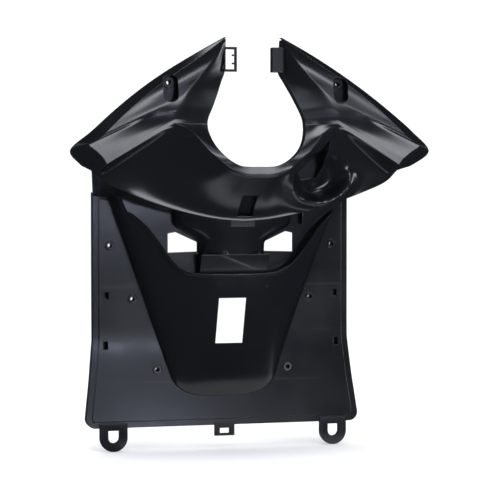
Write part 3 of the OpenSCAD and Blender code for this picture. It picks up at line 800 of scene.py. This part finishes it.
def black_polypropylene():
    """Moulded black polypropylene: a cool near-black skin whose fine spark grain breaks a satin highlight,
    a little cloudier where it was handled, with hairline scuffs and edges rubbed slightly lighter."""
    if "Black polypropylene" in bpy.data.materials:
        return bpy.data.materials["Black polypropylene"]
    look = finish()
    material, tree, shader = new_material("Black polypropylene")
    place = add_node(tree, "ShaderNodeTexCoord").outputs["Object"]
    # Cloudiness some 6 cm across, and long hairline scuffs
    clouds = add_node(tree, "ShaderNodeTexNoise", inputs={"Vector": place, "Scale": 16.0, "Detail": 3.0})
    slant = add_node(tree, "ShaderNodeMapping", inputs={
        "Vector": place, "Rotation": (0.3, 0.5, 0.7), "Scale": (9.0, 60.0, 700.0)})
    hairs = add_node(tree, "ShaderNodeTexNoise", inputs={
        "Vector": slant.outputs[0], "Scale": 1.0, "Detail": 2.0})
    marks = add_node(tree, "ShaderNodeMapRange", inputs={
        "Value": hairs.outputs["Fac"], "From Min": 0.68, "From Max": 0.78, "To Min": 0.0, "To Max": 0.55})
    # Corners rubbed lighter, where the surface turns sharply
    turn = add_node(tree, "ShaderNodeNewGeometry").outputs["Pointiness"]
    rubbed = add_node(tree, "ShaderNodeMapRange", inputs={
        "Value": turn, "From Min": 0.53, "From Max": 0.62, "To Min": 0.0, "To Max": 0.5})
    worn = add_node(tree, "ShaderNodeMath", {"operation": "MAXIMUM"},
                    {0: marks.outputs[0], 1: rubbed.outputs[0]})
    colour = add_node(tree, "ShaderNodeMix", {"data_type": "RGBA"}, {"Factor": worn.outputs[0]})
    colour.inputs[6].default_value = linear(look.plastic)
    colour.inputs[7].default_value = linear(look.scuff)
    rough = add_node(tree, "ShaderNodeMapRange", inputs={
        "Value": clouds.outputs["Fac"], "From Min": 0.3, "From Max": 0.7,
        "To Min": look.roughness - 0.035, "To Max": look.roughness + 0.045})
    # Spark grain of the mould, and the moulded radius of every edge
    grain = add_node(tree, "ShaderNodeTexNoise", inputs={
        "Vector": place, "Scale": 1 / look.grain, "Detail": 4.0, "Roughness": 0.6})
    radius = add_node(tree, "ShaderNodeBevel", {"samples": 6}, {"Radius": 0.0013})
    skin = add_node(tree, "ShaderNodeBump", inputs={
        "Strength": 0.2, "Distance": 0.00005, "Height": grain.outputs["Fac"], "Normal": radius.outputs[0]})
    tree.links.new(colour.outputs[2], shader.inputs["Base Color"])
    tree.links.new(rough.outputs[0], shader.inputs["Roughness"])
    tree.links.new(skin.outputs[0], shader.inputs["Normal"])
    shader.inputs["IOR"].default_value = 1.49
    shader.inputs["Specular IOR Level"].default_value = 0.5
    return material


def studio_paper():
    """Matt white paper: the pale sweep that the panel stands on, faintly mottled as pressed fibre is."""
    material, tree, shader = new_material("Studio paper")
    place = add_node(tree, "ShaderNodeTexCoord").outputs["Object"]
    fibre = add_node(tree, "ShaderNodeTexNoise", inputs={"Vector": place, "Scale": 400.0, "Detail": 2.0})
    tone = add_node(tree, "ShaderNodeMix", {"data_type": "RGBA"}, {"Factor": fibre.outputs["Fac"]})
    pale = linear(finish().floor)
    tone.inputs[6].default_value = pale
    tone.inputs[7].default_value = tuple(c * 0.985 for c in pale[:3]) + (1.0,)
    tree.links.new(tone.outputs[2], shader.inputs["Base Color"])
    shader.inputs["Roughness"].default_value = 0.9
    return material


def grey_cloth():
    """Dark studio cloth round the set: it keeps reflections in the black plastic deep."""
    material, tree, shader = new_material("Grey cloth")
    shader.inputs["Base Color"].default_value = linear("#1d2128")
    shader.inputs["Roughness"].default_value = 1.0
    shader.inputs["Specular IOR Level"].default_value = 0.0
    return material


def dress(obj, name):
    """Finish, smooth shading up to the moulded edges, and the piece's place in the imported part."""
    obj.name = name
    obj.data.materials.clear()
    obj.data.materials.append(black_polypropylene())
    obj.data.polygons.foreach_set("use_smooth", [True] * len(obj.data.polygons))
    obj.data.set_sharp_from_angle(angle=math.radians(SHARP_EDGE))
    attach(obj, BODY)
    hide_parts(CAD_NODE)


# Pieces and stage
SHARP_EDGE = 32.0
RIB = 1.6
RIB_DEPTH = 9.0
BOSS_BACK = 14.0


class INNERPANEL_OT_moulding(bpy.types.Operator):
    """Build the moulding: leg shield, tongue, pocket, tunnel, cowl, loops and clips as one closed shell"""
    bl_idname = "innerpanel.moulding"
    bl_label = "Moulding"

    def execute(self, context):
        dress(build_moulding(Form()), "moulding")
        return {"FINISHED"}


class INNERPANEL_OT_screw_bosses(bpy.types.Operator):
    """Grow a screw boss behind each of the shield's six screw holes"""
    bl_idname = "innerpanel.screw_bosses"
    bl_label = "Screw bosses"

    def execute(self, context):
        form = Form()
        front = [form.wall / 2 - float(form.shield_reach(z)) for x, z in SHIELD_SCREWS]
        points, stretch = [], []
        for side in (-1, 1):
            for (x, z), y in zip(SHIELD_SCREWS, front):
                points.append((side * x, (y + BOSS_BACK) / 2, z))
                stretch.append((1, 1, (BOSS_BACK - y) * MM))
        tree = boss_tree(form.boss * MM, form.screw_bore * MM, black_polypropylene())
        dress(grow("screw_bosses", points, {"stretch": stretch}, tree), "screw_bosses")
        return {"FINISHED"}


class INNERPANEL_OT_back_ribs(bpy.types.Operator):
    """Grow the stiffening ribs behind the shield, from each boss to the side flange and between the bosses"""
    bl_idname = "innerpanel.back_ribs"
    bl_label = "Back ribs"

    def execute(self, context):
        form = Form()
        inner = form.wall / 2
        points, stretch, turn = [], [], []
        for side in (-1, 1):
            for x, z in SHIELD_SCREWS:
                near = x + form.boss / 2 - 1
                far_end = form.shield_half - inner
                points.append((side * (near + far_end) / 2, (inner + RIB_DEPTH) / 2, z))
                stretch.append(((far_end - near) * MM, (RIB_DEPTH - inner) * MM, 1))
                turn.append((0, 0, 0))
            x, high = SHIELD_SCREWS[0]
            low = SHIELD_SCREWS[2][1]
            points.append((side * x, (inner + RIB_DEPTH) / 2, (low + high - form.boss / 2 + 1) / 2))
            stretch.append(((high - form.boss / 2 + 1 - low) * MM, (RIB_DEPTH - inner) * MM, 1))
            turn.append((0, math.pi / 2, 0))
        tree = rib_tree(RIB * MM, black_polypropylene())
        dress(grow("back_ribs", points, {"stretch": stretch, "turn": turn}, tree), "back_ribs")
        return {"FINISHED"}


AIM = Vector((0.0242, 0.0, 0.2385))
CAMERA_TURN, CAMERA_RISE, CAMERA_AWAY, CAMERA_LENS = -14.5, 2.0, 2.5, 144.2
FLOOR_HALF = 40000
CLOTH_LIFT = 0.5
ROOM_LIGHT = 1.12
# Each light's name, azimuth, elevation, distance, width, height, radiance and colour
SOFTBOXES = (
    ("Front softbox", 12, 20.6, 3.6, 1.1, 0.5, 10.0, "#f2f5ff"),
    ("Overhead wash", 14, 34, 3.6, 3.4, 1.1, 1.5, "#e2eaff"),
    ("Low strip", 8.8, 1.2, 3.4, 0.36, 0.08, 30.0, "#dde6ff"),
    ("Right strip", 78, 5, 2.6, 0.7, 1.2, 8.0, "#f4f6ff"),
    ("Left strip", -86, 12, 2.6, 0.8, 1.2, 6.0, "#dfe8ff"),
    ("Top softbox", -10, 76, 2.2, 1.0, 0.8, 8.0, "#f6f8ff"),
    ("Floor bounce", 12.4, -19.4, 0.80, 0.32, 0.5, 8.0, "#f4f6ff"),
)


def towards(azimuth, elevation, distance):
    """The point at this bearing from the aim; azimuth 0 is the rider's side, and grows to the right."""
    a, e = math.radians(azimuth), math.radians(elevation)
    return AIM + distance * Vector((math.sin(a) * math.cos(e), -math.cos(a) * math.cos(e), math.sin(e)))


def softbox(name, azimuth, elevation, distance, width, height, radiance, colour):
    """A rectangular soft light that faces the panel and is unseen by the camera."""
    light = bpy.data.lights.new(name, "AREA")
    light.shape = "RECTANGLE"
    light.size, light.size_y = width, height
    light.energy = radiance * math.pi * width * height
    light.color = linear(colour)[:3]
    obj = bpy.data.objects.new(name, light)
    bpy.context.collection.objects.link(obj)
    obj.location = towards(azimuth, elevation, distance)
    obj.rotation_euler = (AIM - obj.location).to_track_quat("-Z", "Y").to_euler()
    obj.visible_camera = False
    return obj


def studio_cloth(z):
    """Cloth walls, ceiling and mat; the bare floor left under the panel's right half still reflects in it."""
    side, left, right, front, rear = 6000, -130, 250, -90, 20
    corners = [(-side, -side), (side, -side), (side, side), (-side, side)]
    gap = [(left, front), (right, front), (right, rear), (left, rear)]
    points = [(x, y, h) for h in (z, side) for x, y in corners] + [(x, y, z) for x, y in gap]
    turns = [(i, (i + 1) % 4) for i in range(4)]
    walls = [(a, b, b + 4, a + 4) for a, b in turns]
    mat = [(a, b, b + 8, a + 8) for a, b in turns]
    return new_object("studio_cloth", points, walls + mat + [(4, 5, 6, 7)])


class INNERPANEL_OT_studio(bpy.types.Operator):
    """Set the pale floor, the dark cloth that only reflections see, the softboxes and the camera"""
    bl_idname = "innerpanel.studio"
    bl_label = "Studio"

    def execute(self, context):
        floor_z = CAD_BOX[0][2] / MM
        half = FLOOR_HALF
        floor = new_object("floor", [(-half, -half, floor_z), (half, -half, floor_z), (half, half, floor_z),
                                     (-half, half, floor_z)], [(0, 1, 2, 3)])
        floor.data.materials.append(studio_paper())
        cloth = studio_cloth(floor_z + CLOTH_LIFT)
        cloth.data.materials.append(grey_cloth())
        for ray in ("camera", "diffuse", "transmission", "shadow", "volume_scatter"):
            setattr(cloth, "visible_" + ray, False)
        world = bpy.data.worlds.new("Pale room")
        world.use_nodes = True
        background = world.node_tree.nodes["Background"]
        background.inputs["Color"].default_value = (1.0, 1.0, 1.0, 1.0)
        background.inputs["Strength"].default_value = ROOM_LIGHT
        context.scene.world = world
        context.scene.view_settings.view_transform = "Standard"
        *_, bounce = [softbox(*light) for light in SOFTBOXES]
        # The bounce lies flat under the panel and shines up
        bounce.rotation_euler = (math.pi, 0, 0)
        camera = bpy.data.objects.new("Camera", bpy.data.cameras.new("Camera"))
        context.collection.objects.link(camera)
        camera.data.sensor_width = 36.0
        camera.data.lens = CAMERA_LENS
        camera.data.clip_end = 200.0
        camera.location = towards(CAMERA_TURN, CAMERA_RISE, CAMERA_AWAY)
        camera.rotation_euler = (AIM - camera.location).to_track_quat("-Z", "Y").to_euler()
        context.scene.camera = camera
        return {"FINISHED"}


class INNERPANEL_PT_sidebar(bpy.types.Panel):
    """Lists the panel's sizes, its finish and the operators that build it"""
    bl_idname = "INNERPANEL_PT_sidebar"
    bl_label = "Inner Panel"
    bl_space_type = "VIEW_3D"
    bl_region_type = "UI"
    bl_category = "Inner Panel"

    def draw(self, context):
        for group in (context.scene.panel_sizes, context.scene.panel_finish):
            for name in group.__annotations__:
                self.layout.prop(group, name)
        for operator in OPERATORS:
            self.layout.operator(operator.bl_idname)


OPERATORS = (INNERPANEL_OT_moulding, INNERPANEL_OT_screw_bosses, INNERPANEL_OT_back_ribs,
             INNERPANEL_OT_studio)
CLASSES = (PanelSizes, PanelFinish, *OPERATORS, INNERPANEL_PT_sidebar)


def register():
    for cls in CLASSES:
        bpy.utils.register_class(cls)
    bpy.types.Scene.panel_sizes = PointerProperty(type=PanelSizes)
    bpy.types.Scene.panel_finish = PointerProperty(type=PanelFinish)


def unregister():
    del bpy.types.Scene.panel_finish
    del bpy.types.Scene.panel_sizes
    for cls in reversed(CLASSES):
        bpy.utils.unregister_class(cls)


def main():
    register()
    bpy.ops.innerpanel.moulding()
    bpy.ops.innerpanel.screw_bosses()
    bpy.ops.innerpanel.back_ribs()
    bpy.ops.innerpanel.studio()


if __name__ == "__main__":
    main()
